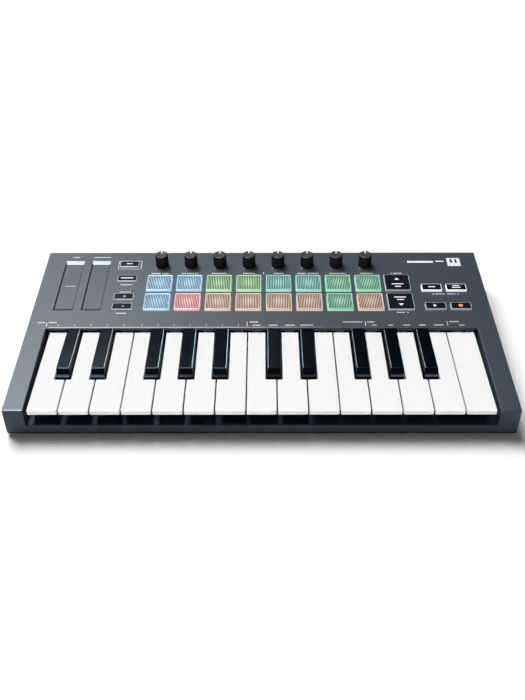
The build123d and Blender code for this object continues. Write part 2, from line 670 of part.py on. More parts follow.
def make_control_pcb():
    board = block(-BOARD_HALF_W, BOARD_HALF_W, *BOARD_S, BOARD_TOP_H - PCB_T, BOARD_TOP_H)
    leds = []
    for s0 in PAD_ROWS:
        for i in range(PAD_COUNT):
            place = (PAD_X + i * PAD_PITCH, s0 + PAD_SIZE / 2)
            leds.append(centred(*place, LED_SIZE, LED_SIZE, BOARD_TOP_H, BOARD_TOP_H + LED_H))
    hole_h = (BOARD_TOP_H - PCB_T - PAST, BOARD_TOP_H)
    holes = [peg(x, s, *hole_h, SCREW_CLEARANCE_R) for x, s in BOARD_SCREWS]
    return on_panel(board + leds - holes)


def make_button(x, s, size_x, size_s, top_h):
    """Button with a flange under the panel and a stem that presses its switch."""
    flange_top = -WALL - BUTTON_REST_GAP
    flange_bottom = flange_top - BUTTON_FLANGE_T
    cap = centred(x, s, size_x, size_s, flange_bottom, top_h)
    cap = fillet(cap.edges().filter_by(Axis.Z), BUTTON_CORNER_R)
    cap = fillet(cap.faces().sort_by(Axis.Z)[-1].edges(), BUTTON_EDGE_R)
    grow = 2 * BUTTON_FLANGE
    cap += centred(x, s, size_x + grow, size_s + grow, flange_bottom, flange_top)
    cap += centred(x, s, BUTTON_STEM, BUTTON_STEM, flange_bottom - BUTTON_STEM_H, flange_bottom)
    return on_panel(cap)


def make_switch(x, s):
    switch = centred(x, s, *SWITCH_SIZE, BOARD_TOP_H, BOARD_TOP_H + SWITCH_BODY_H)
    switch += centred(x, s, BUTTON_STEM, BUTTON_STEM, BOARD_TOP_H, BOARD_TOP_H + SWITCH_TOP_H)
    return on_panel(switch)


def knob_x(i):
    return PAD_X + i * KNOB_PITCH


def make_knob(i):
    """Cap with a pointer groove, and the potentiometer spindle pressed into it."""
    x = knob_x(i)
    height = KNOB_TOP_H - KNOB_BOTTOM_H
    cap = Pos(x, KNOB_S, KNOB_BOTTOM_H + height / 2) * Cone(*KNOB_R, height)
    cap = chamfer(cap.edges().sort_by(Axis.Z)[-1], KNOB_CHAMFER)
    rim_s = KNOB_S + KNOB_R[1]
    half = POINTER_W / 2
    groove_h = (KNOB_TOP_H - POINTER_DEPTH, KNOB_TOP_H + PAST)
    cap -= block(x - half, x + half, rim_s - POINTER_L, rim_s + PAST, *groove_h)
    cap -= peg(x, KNOB_S, KNOB_BOTTOM_H - PAST, SPINDLE_TOP_H, SPINDLE_R)
    spindle = peg(x, KNOB_S, SPINDLE_BOTTOM_H, SPINDLE_TOP_H, SPINDLE_R)
    return on_panel(cap), on_panel(spindle)


def make_potentiometer(i):
    x = knob_x(i)
    pot = centred(x, KNOB_S, POT_SIZE, POT_SIZE, BOARD_TOP_H, POT_TOP_H)
    pot += peg(x, KNOB_S, POT_TOP_H, BUSHING_TOP_H, BUSHING_R)
    bore_r = SPINDLE_R + SPINDLE_CLEARANCE
    pot -= peg(x, KNOB_S, POT_BORE_BOTTOM_H, BUSHING_TOP_H + PAST, bore_r)
    return on_panel(pot)


# --- sockets ----------------------------------------------------------------------
def make_usb_port():
    """Metal shell open to the back, with the contact tongue inside."""
    size_x, size_y, size_z = USB_SIZE
    back = CASE_D / 2 - PORT_RECESS
    middle_y = back - size_y / 2
    root_y = back - size_y + USB_ROOT_T
    hollow_x = size_x - 2 * USB_SHELL_T
    hollow_z = size_z - 2 * USB_SHELL_T
    shell = Pos(USB_X, middle_y, USB_Z) * Box(size_x, size_y, size_z)
    hollow_y = (root_y, back + PAST)
    hollow = block(-hollow_x / 2, hollow_x / 2, *hollow_y, -hollow_z / 2, hollow_z / 2)
    tongue_x, tongue_y, tongue_z = USB_TONGUE
    tongue = block(-tongue_x / 2, tongue_x / 2, root_y, root_y + tongue_y, 0, tongue_z)
    return shell - Pos(USB_X, 0, USB_Z) * hollow + Pos(USB_X, 0, USB_Z) * tongue


def make_jack(x, body, nose_r, bore_r, bore_l):
    """Socket body behind the back wall, a round nose through it and the plug's bore."""
    size_x, size_y, size_z = body
    inner = CASE_D / 2 - WALL - PORT_GAP
    back = CASE_D / 2 - PORT_RECESS
    jack = Pos(x, inner - size_y / 2, JACK_Z) * Box(size_x, size_y, size_z)
    nose_l = back - inner + PAST
    jack += Pos(x, back - nose_l / 2, JACK_Z) * Rot(90, 0, 0) * Cylinder(nose_r, nose_l)
    bore = Pos(0, 0, (bore_l - PAST) / 2) * Cylinder(bore_r, bore_l + PAST)
    return jack - Pos(x, back, JACK_Z) * Rot(90, 0, 0) * bore


# --- screws -----------------------------------------------------------------------
def make_screws():
    screws = [screw(x, y, FOOT_H + HEAD_RECESS_H, CASE_SCREW_L) for x, y in CASE_SCREWS]
    screws += [screw(x, y, CHASSIS_TOP_Z, CHASSIS_SCREW_L, up=-1) for x, y in CHASSIS_SCREWS]
    board_low_h = BOARD_TOP_H - PCB_T
    for x, s in BOARD_SCREWS:
        screws.append(on_panel(screw(x, s, board_low_h, BOARD_SCREW_L)))
    return screws


def make_all():
    os.makedirs("parts", exist_ok=True)
    save("top_casing", make_top_casing())
    save("bottom_casing", make_bottom_casing())
    save("rubber_feet", *[make_foot(x, y) for x, y in foot_places()])
    save("touch_strips", *[make_touch_strip(x) for x in STRIP_XS])
    save("pad_mat", make_pad_mat())
    save("control_pcb", make_control_pcb())
    save("button_switches", *[make_switch(x, s) for x, s, *_ in BUTTONS.values()])
    save("potentiometers", *[make_potentiometer(i) for i in range(KNOB_COUNT)])
    save("key_chassis", make_key_chassis())
    save("key_pivot_rod", make_key_pivot_rod())
    save("key_pcb", make_key_pcb())
    save("key_contact_strip", make_contact_strip())
    save("key_springs", *make_key_springs())
    save("usb_port", make_usb_port())
    sustain = (SUSTAIN_BODY, SUSTAIN_NOSE_R, SUSTAIN_BORE_R, SUSTAIN_BORE_L)
    save("sustain_jack", make_jack(SUSTAIN_X, *sustain))
    midi = (MIDI_BODY, MIDI_NOSE_R, MIDI_BORE_R, MIDI_BORE_L)
    save("midi_out_jack", make_jack(MIDI_X, *midi))
    save("screws", *make_screws())
    for i in range(WHITE_COUNT):
        save(white_name(i), make_white_key(i))
        if has_black(i):
            save(black_name(i), make_black_key(i))
    for i in range(KNOB_COUNT):
        save(f"knob_{i + 1}", *make_knob(i))
    for name, place in BUTTONS.items():
        save(f"{name}_button", make_button(*place))


if __name__ == "__main__":
    make_all()
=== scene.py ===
import json
from math import cos, pi, radians, sin

import bmesh
import bpy
from mathutils import Matrix, Vector


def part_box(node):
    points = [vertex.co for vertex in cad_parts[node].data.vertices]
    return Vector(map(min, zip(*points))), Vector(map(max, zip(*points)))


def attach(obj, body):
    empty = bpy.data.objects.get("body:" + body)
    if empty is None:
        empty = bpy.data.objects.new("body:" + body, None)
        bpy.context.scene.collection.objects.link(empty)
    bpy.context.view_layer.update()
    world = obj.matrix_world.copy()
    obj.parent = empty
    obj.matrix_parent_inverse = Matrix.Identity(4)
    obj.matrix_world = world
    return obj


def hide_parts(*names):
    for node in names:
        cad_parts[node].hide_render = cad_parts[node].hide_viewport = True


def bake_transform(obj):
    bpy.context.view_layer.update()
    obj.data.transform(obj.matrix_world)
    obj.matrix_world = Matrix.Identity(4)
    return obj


# Looks of a compact MIDI keyboard.  Sizes are in millimetres, and become metres when a
# piece is made.  Places on the tilted control panel are (x, s, h): s is the distance up
# the panel from its front edge, and h the height above its surface.

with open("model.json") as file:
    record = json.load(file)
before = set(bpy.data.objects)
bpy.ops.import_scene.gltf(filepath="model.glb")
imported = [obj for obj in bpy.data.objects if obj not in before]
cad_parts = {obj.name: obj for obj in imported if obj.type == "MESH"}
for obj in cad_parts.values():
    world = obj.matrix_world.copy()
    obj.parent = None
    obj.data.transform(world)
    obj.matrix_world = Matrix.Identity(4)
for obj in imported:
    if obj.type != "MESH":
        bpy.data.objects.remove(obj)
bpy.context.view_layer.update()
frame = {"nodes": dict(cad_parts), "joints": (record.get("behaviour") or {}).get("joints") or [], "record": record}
MM = 0.001
JOINTS = {joint["name"]: joint for joint in frame["joints"]}
CASE_BODY = "case"


# --- where the panel is -----------------------------------------------------------
CASE_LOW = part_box("top_casing")[0] / MM
KNOB_JOINTS = [JOINTS[name] for name in sorted(JOINTS) if name.startswith("knob_")]
PANEL_NORMAL = Vector(KNOB_JOINTS[0]["axis"])
PANEL_UP = Vector((0, PANEL_NORMAL.z, -PANEL_NORMAL.y))
PANEL_POINT = Vector(KNOB_JOINTS[0]["pos_m"]) / MM
PANEL_FRONT = PANEL_POINT + PANEL_UP * ((CASE_LOW.y - PANEL_POINT.y) / PANEL_UP.y)
PANEL_FRONT.x = 0
PANEL = Matrix.Translation(PANEL_FRONT) @ Matrix(
    ((1, 0, 0), (0, PANEL_UP.y, PANEL_NORMAL.y), (0, PANEL_UP.z, PANEL_NORMAL.z))
).to_4x4()
TO_PANEL = PANEL.inverted()


def node_place(node):
    """Centre x, centre s, size along x and size along s of a CAD node on the panel."""
    low, high = (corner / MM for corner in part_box(node))
    middle = TO_PANEL @ ((low + high) / 2)
    return middle.x, middle.y, high.x - low.x, (high.y - low.y) / PANEL_UP.y


# --- control sizes ----------------------------------------------------------------
TOP_H = 1.5                     # pads and most buttons above the panel
LOW_TOP_H = 1.0                 # the small buttons at the left
LOW_BUTTONS = ("shift_button", "transpose_button", "octave_up_button", "octave_down_button")
PANEL_T = 2.2
PAD_SIZE = 18.8
PAD_X = -76.2
PAD_PITCH = 22.15
PAD_ROWS = (100.2, 122.6)       # front edges
PAD_RIM = 0.95
PAD_WELL_H = 1.05               # floor of a pad's sunk face, above the panel
RIDGES = 9
RIDGE_H = 0.45
RIDGE_SHARE = 0.62              # of the distance between ridges
RIDGE_SLOPE = 0.5               # length of the slope at each end
RIDGE_END_H = 0.02
RIDGE_THINNEST = 0.1            # a ridge stops where the pad's side leaves less of it
RIDGE_SUNK = 0.05               # the ridges start this far below the pad's floor
RIDGE_LEAN = 0.0033             # sideways per length, for each millimetre from the middle
BUTTON_FLANGE = 0.8

# Pad light colours, front row first, from left to right.
SKY = (0.27, 0.50, 0.70)
GREEN = (0.28, 0.50, 0.25)
TEAL = (0.19, 0.50, 0.44)
MINT = (0.20, 0.51, 0.33)
PEACH = (0.58, 0.39, 0.30)
RED = (0.78, 0.34, 0.36)
PAD_COLOURS = (
    (SKY, RED, PEACH, PEACH, PEACH, PEACH, MINT, PEACH),
    (SKY, SKY, GREEN, GREEN, TEAL, TEAL, MINT, MINT),
)

# Painted light: a soft emission band at the foot of the white keys' upright fronts, full as far as the first
# place, none past the second.
KEY_FOOT_PAINTED_LIGHT = 0.24
KEY_FOOT_PAINTED_LIGHT_Z = (18.5, 18.9)      # height above the table
KEY_FOOT_PAINTED_LIGHT_BEHIND = (0.7, 1.0)   # behind the front of the case


# --- mesh helpers -----------------------------------------------------------------
def new_piece(bm, name, materials, matrix=PANEL, angle=35):
    """Turn a bmesh in millimetres into a piece."""
    bmesh.ops.recalc_face_normals(bm, faces=bm.faces)
    mesh = bpy.data.meshes.new(name)
    bm.to_mesh(mesh)
    bm.free()
    mesh.transform(matrix)
    mesh.transform(Matrix.Scale(MM, 4))
    for material in materials:
        mesh.materials.append(material)
    mesh.shade_smooth()
    mesh.set_sharp_from_angle(angle=radians(angle))
    piece = bpy.data.objects.new(name, mesh)
    bpy.context.scene.collection.objects.link(piece)
    return piece


def finish_piece(bm, name, materials, body, matrix=PANEL, angle=35):
    """Turn a bmesh in millimetres into a piece that rides on a body."""
    piece = new_piece(bm, name, materials, matrix, angle)
    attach(piece, body)
    return piece


def round_rect(x, y, half_x, half_y, radius, steps=5):
    """Points of a rectangle with rounded corners, anticlockwise."""
    radius = max(min(radius, half_x, half_y), 0.01)
    points = []
    for quarter, (sx, sy) in enumerate(((1, 1), (-1, 1), (-1, -1), (1, -1))):
        cx = x + sx * (half_x - radius)
        cy = y + sy * (half_y - radius)
        for i in range(steps + 1):
            a = (quarter + i / steps) * pi / 2
            points.append((cx + radius * cos(a), cy + radius * sin(a)))
    return points


def circle(x, y, radius, steps=48):
    """Points of a circle, anticlockwise."""
    angles = [i * 2 * pi / steps for i in range(steps)]
    return [(x + radius * cos(a), y + radius * sin(a)) for a in angles]


def stack(bm, rings, band_materials=None):
    """Closed solid through rings of points: each ring is (points, height)."""
    loops = [[bm.verts.new((px, py, h)) for px, py in points] for points, h in rings]
    for k, (low, high) in enumerate(zip(loops, loops[1:])):
        for i in range(len(low)):
            j = (i + 1) % len(low)
            face = bm.faces.new((low[i], low[j], high[j], high[i]))
            face.material_index = band_materials[k] if band_materials else 0
    bottom = bm.faces.new(loops[0][::-1])
    top = bm.faces.new(loops[-1])
    if band_materials:
        bottom.material_index = band_materials[0]
        top.material_index = band_materials[-1]


def round_box(bm, x, y, size_x, size_y, h0, h1, corner, edge, material=0):
    """Block with rounded upright corners and a rounded top edge."""
    hx = size_x / 2
    hy = size_y / 2
    rings = [(round_rect(x, y, hx, hy, corner), h0)]
    for i in range(4):
        a = i / 3 * pi / 2
        inset = edge * (1 - cos(a))
        h = h1 - edge * (1 - sin(a))
        rings.append((round_rect(x, y, hx - inset, hy - inset, corner - inset), h))
    # One more ring keeps the flat top's shading flat.
    inset = edge + 0.03
    rings.append((round_rect(x, y, hx - inset, hy - inset, corner - inset), h1))
    stack(bm, rings, [material] * len(rings))


# --- materials --------------------------------------------------------------------
def new_material(name, colour, roughness, **sockets):
    """Principled material with its uniform values set on the shader's own sockets."""
    material = bpy.data.materials.new(name)
    material.use_nodes = True
    shader = material.node_tree.nodes["Principled BSDF"]
    shader.inputs["Base Color"].default_value = (*colour, 1)
    shader.inputs["Roughness"].default_value = roughness
    for socket, value in sockets.items():
        shader.inputs[socket.replace("_", " ")].default_value = value
    return material


def add_node(material, kind, **inputs):
    """Shader node with the given values on its inputs."""
    node = material.node_tree.nodes.new(kind)
    for socket, value in inputs.items():
        node.inputs[socket.replace("_", " ")].default_value = value
    return node


def link(material, source, target):
    material.node_tree.links.new(source, target)


def shader_of(material):
    return material.node_tree.nodes["Principled BSDF"]


def object_coordinates(material):
    return add_node(material, "ShaderNodeTexCoord").outputs["Object"]


def product(material, first, second):
    """Output of a node that multiplies one output by another, or by a number."""
    node = add_node(material, "ShaderNodeMath")
    node.operation = "MULTIPLY"
    link(material, first, node.inputs[0])
    if isinstance(second, float):
        node.inputs[1].default_value = second
    else:
        link(material, second, node.inputs[1])
    return node.outputs["Value"]


def add_grain(material, scale, strength, distance=0.00002):
    """Fine moulded grain, as bump."""
    noise = add_node(material, "ShaderNodeTexNoise", Scale=scale, Detail=3.0)
    link(material, object_coordinates(material), noise.inputs["Vector"])
    bump = add_node(material, "ShaderNodeBump", Strength=strength, Distance=distance)
    link(material, noise.outputs["Fac"], bump.inputs["Height"])
    link(material, bump.outputs["Normal"], shader_of(material).inputs["Normal"])


def vary_roughness(material, scale, low, high):
    """Slight, soft change of gloss over the surface, as handled plastic has."""
    noise = add_node(material, "ShaderNodeTexNoise", Scale=scale, Detail=5.0)
    link(material, object_coordinates(material), noise.inputs["Vector"])
    spread = add_node(material, "ShaderNodeMapRange", To_Min=low, To_Max=high)
    link(material, noise.outputs["Fac"], spread.inputs["Value"])
    link(material, spread.outputs["Result"], shader_of(material).inputs["Roughness"])


def vary_colour(material, scale, first, second):
    """Very slight clouding of the colour."""
    noise = add_node(material, "ShaderNodeTexNoise", Scale=scale, Detail=6.0)
    link(material, object_coordinates(material), noise.inputs["Vector"])
    ramp = add_node(material, "ShaderNodeValToRGB")
    ramp.color_ramp.elements[0].color = (*first, 1)
    ramp.color_ramp.elements[1].color = (*second, 1)
    link(material, noise.outputs["Fac"], ramp.inputs["Fac"])
    link(material, ramp.outputs["Color"], shader_of(material).inputs["Base Color"])


def case_material(name, shade):
    """Blue grey plastic of the case; the strips get a darker copy of it, which is painted shade."""
    middle = scaled((0.032, 0.043, 0.060), shade)
    darker = scaled((0.0305, 0.0415, 0.0585), shade)
    lighter = scaled((0.0335, 0.0445, 0.0615), shade)
    material = new_material(name, middle, 0.38, Specular_IOR_Level=0.29)
    shader_of(material).inputs["Specular Tint"].default_value = (0.82, 0.92, 1.0, 1)
    vary_colour(material, 9.0, darker, lighter)
    vary_roughness(material, 45.0, 0.35, 0.40)
    add_grain(material, 2600.0, 0.35)
    return material


def black_plastic_material():
    material = new_material("black_plastic", (0.0010, 0.0024, 0.0048), 0.4, Specular_IOR_Level=0.42)
    shader_of(material).inputs["Specular Tint"].default_value = (0.45, 0.75, 1.0, 1)
    vary_roughness(material, 60.0, 0.36, 0.44)
    add_grain(material, 2200.0, 0.3)
    return material


def white_key_material():
    """Milky plastic that passes some light on; painted light, as emission, brightens the foot of its upright
    front.
    """
    material = new_material("white_key_plastic", (0.84, 0.84, 0.845), 0.3, Specular_IOR_Level=0.12)
    shader = shader_of(material)
    shader.inputs["Subsurface Weight"].default_value = 0.5
    shader.inputs["Subsurface Radius"].default_value = (1.0, 1.0, 1.0)
    shader.inputs["Subsurface Scale"].default_value = 0.001
    vary_roughness(material, 80.0, 0.26, 0.34)
    # Painted light: emission masked to the foot of the upright front, by height and by distance behind the case's
    # front.
    split = add_node(material, "ShaderNodeSeparateXYZ")
    link(material, object_coordinates(material), split.inputs["Vector"])
    full_z, no_z = KEY_FOOT_PAINTED_LIGHT_Z
    foot = add_node(material, "ShaderNodeMapRange", From_Min=no_z * MM, From_Max=full_z * MM)
    link(material, split.outputs["Z"], foot.inputs["Value"])
    full_y, no_y = (-(CASE_LOW.y + behind) * MM for behind in KEY_FOOT_PAINTED_LIGHT_BEHIND)
    upright = add_node(material, "ShaderNodeMapRange", From_Min=no_y, From_Max=full_y)
    link(material, product(material, split.outputs["Y"], -1.0), upright.inputs["Value"])
    both = product(material, foot.outputs["Result"], upright.outputs["Result"])
    shader.inputs["Emission Color"].default_value = (1, 1, 1, 1)
    link(material, product(material, both, KEY_FOOT_PAINTED_LIGHT), shader.inputs["Emission Strength"])
    return material


def black_key_material():
    material = new_material("black_key_plastic", (0.0010, 0.0022, 0.0042), 0.2, Specular_IOR_Level=0.02)
    shader_of(material).inputs["Specular Tint"].default_value = (0.62, 0.82, 1.0, 1)
    vary_roughness(material, 70.0, 0.18, 0.26)
    add_grain(material, 3000.0, 0.12)
    return material


def knob_material():
    material = new_material("knob_rubber", (0.002, 0.003, 0.0045), 0.5, Specular_IOR_Level=0.22)
    shader_of(material).inputs["Specular Tint"].default_value = (0.80, 0.92, 1.0, 1)
    vary_roughness(material, 150.0, 0.46, 0.58)
    add_grain(material, 2500.0, 0.25)
    return material


def print_material(name, colour, glow=0.0):
    material = new_material(name, colour, 0.55)
    add_grain(material, 3000.0, 0.1)
    if glow:
        shader_of(material).inputs["Emission Color"].default_value = (*colour, 1)
        shader_of(material).inputs["Emission Strength"].default_value = glow
    return material


# Painted highlight along the case's edges: its full colour, its faded colour, and where it fades.
EDGE_HIGHLIGHT_FULL = (0.45, 0.49, 0.54)
EDGE_HIGHLIGHT_FADED = (0.07, 0.09, 0.115)
EDGE_HIGHLIGHT_FADE_X = (-20.0, 45.0)     # light to the left of the first place, dark to the right of the second


def painted_edge_highlight_material():
    """Paler line that stands for light caught by an edge of the case, fading out to the right."""
    material = new_material("painted_edge_highlight", EDGE_HIGHLIGHT_FULL, 0.4, Specular_IOR_Level=0.3)
    split = add_node(material, "ShaderNodeSeparateXYZ")
    link(material, object_coordinates(material), split.inputs["Vector"])
    light_x, dark_x = EDGE_HIGHLIGHT_FADE_X
    across = add_node(material, "ShaderNodeMapRange", From_Min=light_x * MM, From_Max=dark_x * MM)
    link(material, split.outputs["X"], across.inputs["Value"])
    ramp = add_node(material, "ShaderNodeValToRGB")
    ramp.color_ramp.elements[0].color = (*EDGE_HIGHLIGHT_FULL, 1)
    ramp.color_ramp.elements[1].color = (*EDGE_HIGHLIGHT_FADED, 1)
    link(material, across.outputs["Result"], ramp.inputs["Fac"])
    link(material, ramp.outputs["Color"], shader_of(material).inputs["Base Color"])
    return material


def rim_material(name, colour, glow):
    """Translucent light pipe round a button's black top."""
    material = new_material(name, colour, 0.32, Coat_Weight=0.3)
    shader_of(material).inputs["Subsurface Weight"].default_value = 0.3
    shader_of(material).inputs["Subsurface Radius"].default_value = (0.001, 0.001, 0.001)
    shader_of(material).inputs["Emission Color"].default_value = (*colour, 1)
    shader_of(material).inputs["Emission Strength"].default_value = glow
    vary_roughness(material, 300.0, 0.28, 0.36)
    return material


def steel_material():
    material = new_material("plated_steel", (0.55, 0.56, 0.58), 0.3, Metallic=1.0)
    vary_roughness(material, 400.0, 0.24, 0.4)
    return material


def board_material():
    material = new_material("circuit_board", (0.02, 0.12, 0.05), 0.35)
    vary_colour(material, 400.0, (0.015, 0.09, 0.035), (0.03, 0.15, 0.06))
    return material


def rubber_material():
    material = new_material("rubber", (0.02, 0.02, 0.022), 0.75)
    add_grain(material, 1800.0, 0.4)
    return material


def scaled(colour, factor):
    """The colour made brighter or darker, up to full strength."""
    return tuple(min(value * factor, 1.0) for value in colour)


def vivid(colour):
    """The colour made purer and as bright as it goes."""
    return tuple((value / max(colour)) ** 1.25 for value in colour)


def pale(colour, share):
    """The colour mixed with white."""
    return tuple(value * (1 - share) + share for value in colour)


def lit_silicone(name, base, glow_colour, glow, spread):
    """Milky silicone over a lamp: it glows most in the pad's middle, fading to its edges."""
    material = new_material(name, base, 0.42, Specular_IOR_Level=0.25)
    shader = shader_of(material)
    centre = add_node(material, "ShaderNodeVectorMath")
    centre.operation = "DISTANCE"
    centre.inputs[1].default_value = (0.5, 0.5, 0.9)
    generated = add_node(material, "ShaderNodeTexCoord").outputs["Generated"]
    link(material, generated, centre.inputs[0])
    ramp = add_node(material, "ShaderNodeValToRGB")
    ramp.color_ramp.interpolation = "EASE"
    ramp.color_ramp.elements[0].color = (*glow_colour, 1)
    ramp.color_ramp.elements[1].color = (0, 0, 0, 1)
    ramp.color_ramp.elements[1].position = spread
    link(material, centre.outputs["Value"], ramp.inputs["Fac"])
    link(material, ramp.outputs["Color"], shader.inputs["Emission Color"])
    shader.inputs["Emission Strength"].default_value = glow
    return material


def edge_silicone(name, base, glow_colour, glow):
    """The pad's rim and sides, which the lamp lights evenly."""
    material = new_material(name, base, 0.3, Coat_Weight=0.2)
    shader_of(material).inputs["Emission Color"].default_value = (*glow_colour, 1)
    shader_of(material).inputs["Emission Strength"].default_value = glow
    vary_roughness(material, 300.0, 0.28, 0.36)
    return material


def pad_materials(name, colour):
    """Materials of one pad colour: sunk floor, rim, ridges and sides."""
    floor = lit_silicone(f"pad_floor_{name}", scaled(colour, 0.26), pale(colour, 0.2), 0.10, 0.5)
    rim = edge_silicone(f"pad_rim_{name}", pale(scaled(colour, 0.80), 0.17), pale(colour, 0.2), 0.25)
    ridge = lit_silicone(f"pad_ridge_{name}", scaled(colour, 0.90), pale(colour, 0.6), 0.36, 0.42)
    side = edge_silicone(f"pad_side_{name}", scaled(colour, 0.9), vivid(colour), 0.75)
    return floor, rim, ridge, side


CASE = case_material("case_plastic", 1.0)
# Painted shade: the strips' plastic is the case plastic made darker.
STRIP_PLASTIC_PAINTED_SHADE = case_material("strip_plastic_painted_shade", 0.82)
BLACK = black_plastic_material()
WHITE_KEY = white_key_material()
BLACK_KEY = black_key_material()
KNOB = knob_material()
STEEL = steel_material()
BOARD = board_material()
RUBBER = rubber_material()
PRINT = print_material("white_print", (0.78, 0.8, 0.82))
SOFT_PRINT = print_material("grey_print", (0.55, 0.58, 0.61))
PAINTED_EDGE_HIGHLIGHT = painted_edge_highlight_material()
RIM = rim_material("button_rim", (0.54, 0.59, 0.66), 0.15)
LIT_RIM = rim_material("button_rim_lit", (0.9, 0.92, 0.95), 0.65)
BUTTON_TOP = new_material("button_top", (0.0034, 0.0062, 0.0105), 0.4, Specular_IOR_Level=0.04)
vary_roughness(BUTTON_TOP, 200.0, 0.36, 0.44)
RED_PRINT = print_material("red_print", (0.80, 0.14, 0.06), 0.4)
WHITE_ICON = print_material("white_icon", (0.85, 0.87, 0.9), 0.1)


# --- CAD nodes that stay ----------------------------------------------------------
def paint_cad_nodes():
    """Give every CAD node the material of its slot."""
    by_slot = {
        "case": CASE, "strip": STRIP_PLASTIC_PAINTED_SHADE, "black_plastic": BLACK, "white_key": WHITE_KEY,
        "black_key": BLACK_KEY, "knob": KNOB, "steel": STEEL, "circuit_board": BOARD, "rubber": RUBBER,
        "button": BUTTON_TOP, "pad": RIM,
    }
    for entry in frame["record"]["subparts"]:
        node = frame["nodes"][entry["node"]]
        node.data.materials.clear()
        node.data.materials.append(by_slot[entry["material_slot"]])


# --- pads -------------------------------------------------------------------------
FLOOR_MATERIAL, RIM_MATERIAL, RIDGE_MATERIAL, SIDE_MATERIAL = range(4)


def add_ridges(bm, x, s, half, floor_h):
    """Half-round ridges over a pad's face; they lean more the further it is from the middle."""
    pitch = 2 * half / RIDGES
    half_w = pitch * RIDGE_SHARE / 2
    lean = x * RIDGE_LEAN
    steps = 6
    lengths = 7
    outs = [(2 * i / lengths - 1) * (half - RIDGE_SLOPE) for i in range(lengths + 1)]
    outs = [-half, *outs, half]
    extra = 2                   # ridges past each side, which lean back over the face
    for k in range(-extra, RIDGES + extra):
        spans = []
        for out in outs:
            middle = pitch * (k + 0.5) - half + lean * out
            left = max(middle - half_w, -half)
            right = min(middle + half_w, half)
            if right - left > RIDGE_THINNEST:
                spans.append((out, left, right))
        if len(spans) < 3:
            continue
        rows = []
        for place, (out, left, right) in enumerate(spans):
            lift = RIDGE_H * (right - left) / (2 * half_w)
            if place in (0, len(spans) - 1):
                lift = RIDGE_END_H
            row = []
            for i in range(steps + 1):
                a = pi * i / steps
                across = (left + right) / 2 - (right - left) / 2 * cos(a)
                h = floor_h - RIDGE_SUNK + (lift + RIDGE_SUNK) * sin(a)
                row.append(bm.verts.new((x + across, s + out, h)))
            rows.append(row)
        ridge = [bm.faces.new(rows[0]), bm.faces.new(rows[-1][::-1])]
        for low, high in zip(rows, rows[1:]):
            ridge += [bm.faces.new((low[i], low[i + 1], high[i + 1], high[i])) for i in range(steps)]
            ridge.append(bm.faces.new((low[0], high[0], high[-1], low[-1])))
        for face in ridge:
            face.material_index = RIDGE_MATERIAL


def make_pad(row, column, materials):
    """Pad with a rim round a sunk, ribbed face."""
    bm = bmesh.new()
    x = PAD_X + column * PAD_PITCH
    s = PAD_ROWS[row] + PAD_SIZE / 2
    half = PAD_SIZE / 2
    inner = half - PAD_RIM
    profile = (
        (half, 1.0, -PANEL_T - 1.2), (half, 1.0, TOP_H - 0.4), (half - 0.12, 0.95, TOP_H - 0.12),
        (half - 0.4, 0.8, TOP_H), (inner + 0.15, 0.5, TOP_H), (inner, 0.4, TOP_H - 0.1),
        (inner, 0.4, PAD_WELL_H),
    )
    rings = [(round_rect(x, s, size, size, corner), h) for size, corner, h in profile]
    bands = [SIDE_MATERIAL] + 5 * [RIM_MATERIAL] + [FLOOR_MATERIAL]
    stack(bm, rings, bands)
    add_ridges(bm, x, s, inner - 0.25, PAD_WELL_H)
    piece = finish_piece(bm, f"pad_{row + 1}_{column + 1}", materials, CASE_BODY, angle=50)
    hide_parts("pad_mat")


def make_pads():
    """Two rows of eight pads; pads of one colour share their materials."""
    made = {}
    names = {SKY: "sky", GREEN: "green", TEAL: "teal", MINT: "mint", PEACH: "peach", RED: "red"}
    for row, colours in enumerate(PAD_COLOURS):
        for column, colour in enumerate(colours):
            if colour not in made:
                made[colour] = pad_materials(names[colour], colour)
            make_pad(row, column, made[colour])


# --- buttons ----------------------------------------------------------------------
def prism(bm, points, h0, h1):
    """Thin closed plate with the given outline."""
    stack(bm, [(points, h0), (points, h1)])


def up_triangle(x, s, size):
    return [(x - size, s - size * 0.62), (x + size, s - size * 0.62), (x, s + size * 0.7)]


def down_triangle(x, s, size):
    return [(x, s - size * 0.7), (x + size, s + size * 0.62), (x - size, s + size * 0.62)]


def right_triangle(x, s, size):
    return [(x - size * 0.7, s - size), (x + size * 0.9, s), (x - size * 0.7, s + size)]


def plus_outline(x, s, arm, half):
    """Twelve corners of a plus sign."""
    quarter = [(arm, -half), (arm, half), (half, half)]
    points = []
    for _ in range(4):
        points += [(x + px, s + py) for px, py in quarter]
        quarter = [(-py, px) for px, py in quarter]
    return points


def bar(x0, x1, s, thick):
    """Outline of a plain bar from x0 to x1."""
    return round_rect((x0 + x1) / 2, s, (x1 - x0) / 2, thick / 2, thick * 0.3, steps=3)


